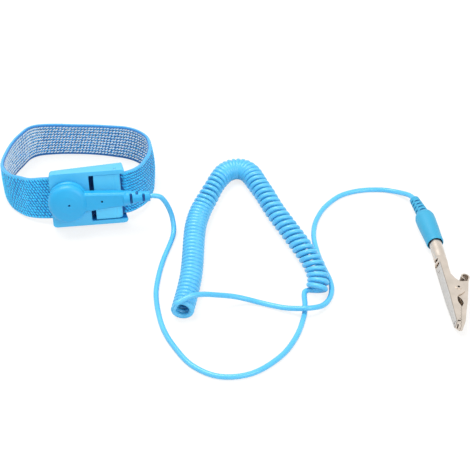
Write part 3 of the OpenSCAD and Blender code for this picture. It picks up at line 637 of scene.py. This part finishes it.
def band_section():
    """Half-round selvages and a thinner web between them: (across, depth, on the inner side), where 0.8 on
    the selvages' inner halves gives them a painted shade.
    """
    lower = [(BEAD_R - BEAD_R * math.sin(math.radians(a)), 1 - BEAD_R * math.cos(math.radians(a)),
              0.8 if a > 100 else 0.4) for a in range(0, 181, 20)]
    upper = [(BAND_W - v, depth, side) for v, depth, side in lower[::-1]]
    web = [(1.25, 1.72), (1.6, 1.68), (BAND_W / 4, 1.66), (BAND_W / 2, 1.66), (BAND_W * 3 / 4, 1.66),
           (BAND_W - 1.6, 1.68), (BAND_W - 1.25, 1.72)]
    inner_face = [(v, depth, 1.0) for v, depth in web]
    outer_face = [(BAND_W - v, 0.3 if 1.5 < v < BAND_W - 1.5 else 0.26, 0.0) for v, _ in web]
    return lower + inner_face + upper + outer_face


def make_band(path):
    section = band_section()
    b = bmesh.new()
    across, along, inner, painted_clasp_shade = (b.verts.layers.float.new(n) for n in ("across", "along", "inner", "painted_clasp_shade"))
    rings = []
    for q in path["run"]:
        ring = []
        for v, depth, side in section:
            spot = band_point(path, q, v, depth)[0]
            vert = b.verts.new(spot * MM)
            vert[across], vert[along], vert[inner], vert[painted_clasp_shade] = v, q, side, under_clasp(spot)
            ring.append(vert)
        rings.append(ring)
    n = len(section)
    for a, c in zip(rings, rings[1:]):
        for k in range(n):
            b.faces.new((a[k], a[(k + 1) % n], c[(k + 1) % n], c[k]))
    b.faces.new(rings[0][::-1])
    b.faces.new(rings[-1])
    bmesh.ops.recalc_face_normals(b, faces=b.faces)
    mesh = bpy.data.meshes.new("band")
    b.to_mesh(mesh)
    b.free()
    shaded(mesh, 60)
    belongs(new_piece("band", mesh, GROUND), "wristband", "elastic", "elastic_band")


def stitch_tree():
    """Geometry nodes: one slanted loop of yarn on each point, along the band and out of its face."""
    tree = bpy.data.node_groups.new("stitches", "GeometryNodeTree")
    face = tree.interface
    face.new_socket("Points", in_out="INPUT", socket_type="NodeSocketGeometry")
    for label, kind in (("Stitch Length", "Float"), ("Stitch Width", "Float"), ("Stitch Height", "Float"),
                        ("Slant", "Float"), ("Unevenness", "Float"), ("Seed", "Int"), ("Yarn", "Material")):
        face.new_socket(label, in_out="INPUT", socket_type="NodeSocket" + kind)
    face.new_socket("Stitches", in_out="OUTPUT", socket_type="NodeSocketGeometry")

    def node(kind, settings=None, out=0, **sockets):
        return Signal(tree, add_node(tree, kind, settings, **sockets).outputs[out])

    def direction(name):
        return node("GeometryNodeInputNamedAttribute", {"data_type": "FLOAT_VECTOR"}, Name=name)

    def chance(low, high, seed):
        return node("FunctionNodeRandomValue", {"data_type": "FLOAT"}, out=1, i2=low, i3=high,
                    Seed=given["Seed"] + seed)

    given = {socket.name: Signal(tree, socket) for socket in add_node(tree, "NodeGroupInput").outputs}
    ball = node("GeometryNodeMeshUVSphere", out="Mesh", Segments=8, Rings=5, Radius=0.5)
    size = node("ShaderNodeCombineXYZ", X=given["Stitch Length"], Y=given["Stitch Width"],
                Z=given["Stitch Height"])
    loop = node("GeometryNodeTransform", Geometry=ball, Scale=size)
    loop = node("GeometryNodeSetShadeSmooth", Geometry=loop)
    upright = node("FunctionNodeAlignRotationToVector", {"axis": "Z"}, Vector=direction("out"))
    laid = node("FunctionNodeAlignRotationToVector", {"axis": "X", "pivot_axis": "Z"},
                Rotation=upright, Vector=direction("along"))
    lean = given["Slant"] + chance(given["Unevenness"] * -1, given["Unevenness"], 1)
    slant = node("FunctionNodeAxisAngleToRotation", Axis=(0, 0, 1), Angle=lean)
    turned = node("FunctionNodeRotateRotation", {"rotation_space": "LOCAL"}, Rotation=laid, Rotate_By=slant)
    placed = node("GeometryNodeInstanceOnPoints", Points=given["Points"], Instance=loop, Rotation=turned,
                  Scale=node("ShaderNodeCombineXYZ", X=chance(0.94, 1.06, 2), Y=chance(0.92, 1.08, 3), Z=1.0))
    toned = node("GeometryNodeStoreNamedAttribute", {"data_type": "FLOAT", "domain": "INSTANCE"},
                 Geometry=placed, Name="shade", Value=chance(0.0, 1.0, 4))
    real = node("GeometryNodeRealizeInstances", Geometry=toned)
    done = node("GeometryNodeSetMaterial", Geometry=real, Material=given["Yarn"])
    add_node(tree, "NodeGroupOutput", i0=done)
    return tree


STITCHES = stitch_tree()


def stitched(name, path, rows, pitch, depth, sign, brick, sizes, slant, material, seed):
    """A field of stitches in rows along the band; sign is 1 on its outer face and -1 on its inner one.

    pitch is from stitch to stitch, and each row starts later than the one before by the share brick of it.
    sizes are a stitch's length, width and height."""
    spots, outs, alongs = [], [], []
    loose = np.random.default_rng(seed)
    for r, v in enumerate(rows):
        for q in np.arange(STITCH_FROM_END + brick * r % 1 * pitch, path["run"][-1] - STITCH_FROM_END, pitch):
            stray = loose.normal(0, 1, 2) * pitch
            spot, face, heading = band_point(path, q + LOOSE_ALONG * stray[0],
                                             v + LOOSE_ACROSS * stray[1], depth)
            if under_clasp(spot) < 0.8:
                spots.append(spot * MM)
                outs.append(sign * face)
                alongs.append(heading)
    mesh = bpy.data.meshes.new(name)
    mesh.from_pydata([tuple(x) for x in spots], [], [])
    for label, values in (("out", outs), ("along", alongs)):
        layer = mesh.attributes.new(label, "FLOAT_VECTOR", "POINT")
        layer.data.foreach_set("vector", np.array(values, np.float32).ravel())
    piece = linked(name, mesh)
    grow = piece.modifiers.new("stitches", "NODES")
    grow.node_group = STITCHES
    values = {"Stitch Length": sizes[0] * MM, "Stitch Width": sizes[1] * MM, "Stitch Height": sizes[2] * MM,
              "Slant": math.radians(slant), "Unevenness": math.radians(UNEVENNESS), "Seed": seed,
              "Yarn": material}
    for item in STITCHES.interface.items_tree:
        if item.in_out == "INPUT" and item.name in values:
            grow[item.identifier] = values[item.name]
    settled(piece)
    belongs(piece, "wristband", "elastic")


band = band_path()
make_band(band)
stitched("knit_outside", band, OUTER_ROWS, pitch=1.65, depth=0.26, sign=1, brick=0.72,
         sizes=(1.85, 0.9, 0.6), slant=-40, material=BLUE_YARN, seed=11)
stitched("knit_silver", band, INNER_ROWS, pitch=1.66, depth=1.72, sign=-1, brick=0.3,
         sizes=(2.05, 0.8, 0.6), slant=36, material=SILVER_YARN, seed=12)
stitched("knit_lining", band, INNER_ROWS[:-1] + 0.55 * INNER_ROW, pitch=1.62, depth=1.68, sign=-1, brick=0.35,
         sizes=(1.5, 0.46, 0.4), slant=20, material=LINING_YARN, seed=13)


# ------------------------------------------------------------------ clasp, lever, connector and boot

def clasp_window_shade(x, y, z):
    """Painted shade in the window over the lever, darker the deeper it lies, and in the channel for the band.
    """
    window_side = x > WINDOW_FROM - 0.3
    window = window_side & (np.abs(y) < CLASP_H / 2 - RAIL + 0.15) & (z > BAND_FRONT - BAND_T - 0.4)
    channel = (~window_side & (x > -CLASP_END - 0.5) & (z < BAND_FRONT + 0.4)
               & (y > -BAND_W / 2 - 0.7) & (y < BAND_W / 2 + 0.3))
    return np.where(window, (-0.5 - z) / 1.2, 0) + np.where(channel, 0.8, 0)


def shade_beneath_lever(x, y, z):
    """Painted shade in the groove beside the lever's barrel and on all that lies beneath its flap."""
    groove = (np.abs(x - LEVER_GROOVE) < 0.45) & (z < LEVER_FACE - 0.02) & (z > LEVER_FACE - 0.5)
    below = np.where(x < FLAP_TO, (LEVER_FACE - 0.6 - z) / 0.6, (LEVER_FACE - 0.9 - z) / 1.2)
    return np.where(groove, 0.5, 0) + below


def connector_slot_shade_and_marks(x, y, z):
    """Painted shade in the slots of the neck's strain relief; the two small round marks take the same dark
    colour.
    """
    wall = NECK_RELIEF_R - (x - NECK_RELIEF_FROM) * NECK_RELIEF_TAPER
    slots = np.where(x > NECK_RELIEF_FROM + 1.3, (wall - 0.12 - np.hypot(y, z - CORD_Z)) / SLOT_FADE, 0)
    marks = [(np.hypot(x - at, y) < MARK_R) & (z > low) & (z < high) for at, low, high in MARKS]
    return slots + np.where(marks[0] | marks[1], 1, 0)


def boot_slot_shade(x, y, z):
    """Painted shade in the slots of the boot's strain relief and in its mouth."""
    along, side, up, _ = np.array(IN_RELIEF.inverted() @ IN_BOOT) @ np.array([x, y, z, np.ones(len(x))])
    wall = BOOT_RELIEF_R + BOOT_RELIEF_TAPER * along
    slots = np.where((along < -0.4) & (along > 0.4 - BOOT_RELIEF_L),
                     (wall - 0.15 - np.hypot(side, up)) / SLOT_FADE, 0)
    mouth = np.where((x > -MOUTH_SHADE) & (x < BOOT_OUT - 0.15) & (np.hypot(y, z) < BOOT_MOUTH_R), 1, 0)
    return slots + mouth


def no_painted_shade(x, y, z):
    return np.zeros(len(x))


# CAD node, its copy's name, own frame, voxel in mm, rounds of easing, faces, finish, painted shade in its
# slots, body, slot
for node, name, own, voxel, rounds, faces, material, painted_shade_and_marks, body, slot in (
        ("clasp_base", "clasp_shell", IN_CLASP, 0.22, 4, 60000, BLUE, clasp_window_shade,
         "wristband", "blue_plastic"),
        ("cam_lever", "lever_flap", IN_CLASP, 0.18, 4, 30000, BLUE_WITH_PAINTED_LIGHT, shade_beneath_lever,
         "lever", "blue_plastic"),
        ("connector_cover", "connector_shell", IN_CONNECTOR, 0.18, 5, 70000, DEEP_BLUE, connector_slot_shade_and_marks,
         "root", "blue_plastic"),
        ("connector_base", "connector_cap", IN_CONNECTOR, 0.2, 3, 20000, DEEP_BLUE, no_painted_shade,
         "root", "blue_plastic"),
        ("plug_boot", "boot", IN_BOOT, 0.14, 5, 60000, BOOT_BLUE, boot_slot_shade,
         "root", "blue_boot")):
    belongs(eased_copy(name, node, own, voxel, rounds, faces, material, painted_shade_and_marks), body, slot, node)


# ------------------------------------------------------------------ finishes of the CAD nodes that stay

for material, nodes in (
        (CLIP_NICKEL, ("clip_body",)),
        (NICKEL, ("clip_jaw", "clip_rivet", "plug_pin", "snap_stud", "snap_socket")),
        (BRIGHT, ("clip_spring", "contact_plate", "lever_pin", "socket_spring", "resistor_leads")),
        (BRASS, ("lantern_spring", "solder_tag")),
        (LACQUER, ("resistor_body",)),
        (COPPER, ("lead_wire_end",)),
        (JACKET, ("lead_sheath_end", "plug_wire_end"))):
    for node in nodes:
        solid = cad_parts[node].data
        solid.materials.clear()
        solid.materials.append(material)


# ------------------------------------------------------------------ floor and light

FLOOR_HALF = 4  # in metres, as are the lamps' places
LIT = (0.07, -0.03, 0)  # where the lamps point
AMBIENT = 0.55  # the backdrop's strength as a light; what is seen of it is 1


def make_floor():
    """Plain floor; what is seen of it is half glow, so that it comes out pale with soft shadows on it."""
    mesh = bpy.data.meshes.new("floor")
    corners = ((-1, -1), (1, -1), (1, 1), (-1, 1))
    mesh.from_pydata([(FLOOR_HALF * x, FLOOR_HALF * y, 0) for x, y in corners], [], [(0, 1, 2, 3)])
    f = Finish("pale floor")
    seen = f.node("ShaderNodeLightPath", out="Is Camera Ray")
    plain = f.node("ShaderNodeBsdfDiffuse", Color=(0.86, 0.86, 0.87))
    weak = f.node("ShaderNodeBsdfDiffuse", Color=(0.25, 0.24, 0.225))
    glow = f.node("ShaderNodeEmission", Color=(0.99, 0.995, 1.0), Strength=0.785)
    shown = f.node("ShaderNodeAddShader", i0=weak, i1=glow)
    new_piece("floor", mesh, f.show(f.node("ShaderNodeMixShader", i0=seen, i1=plain, i2=shown)))


def lamp(name, at, size, power):
    data = bpy.data.lights.new(name, "AREA")
    data.shape, data.size, data.energy = "DISK", size, power
    light = linked(name, data)
    light.location = at
    light.rotation_euler = (Vector(LIT) - Vector(at)).to_track_quat("-Z", "Y").to_euler()


def make_backdrop():
    world = bpy.data.worlds.new("studio")
    world.use_nodes = True
    bpy.context.scene.world = world
    tree = world.node_tree
    tree.nodes.clear()
    path = add_node(tree, "ShaderNodeLightPath").outputs
    seen = Signal(tree, path["Is Camera Ray"]).math("MAXIMUM", path["Is Glossy Ray"])
    sky = add_node(tree, "ShaderNodeBackground", Strength=seen * (1 - AMBIENT) + AMBIENT, Color=(1, 1, 1))
    add_node(tree, "ShaderNodeOutputWorld", Surface=sky.outputs[0])


make_floor()
make_backdrop()
lamp("overhead", (-0.12, 0.10, 0.75), size=0.55, power=4.8)
lamp("front", (0.55, -0.65, 0.6), size=0.5, power=3.0)
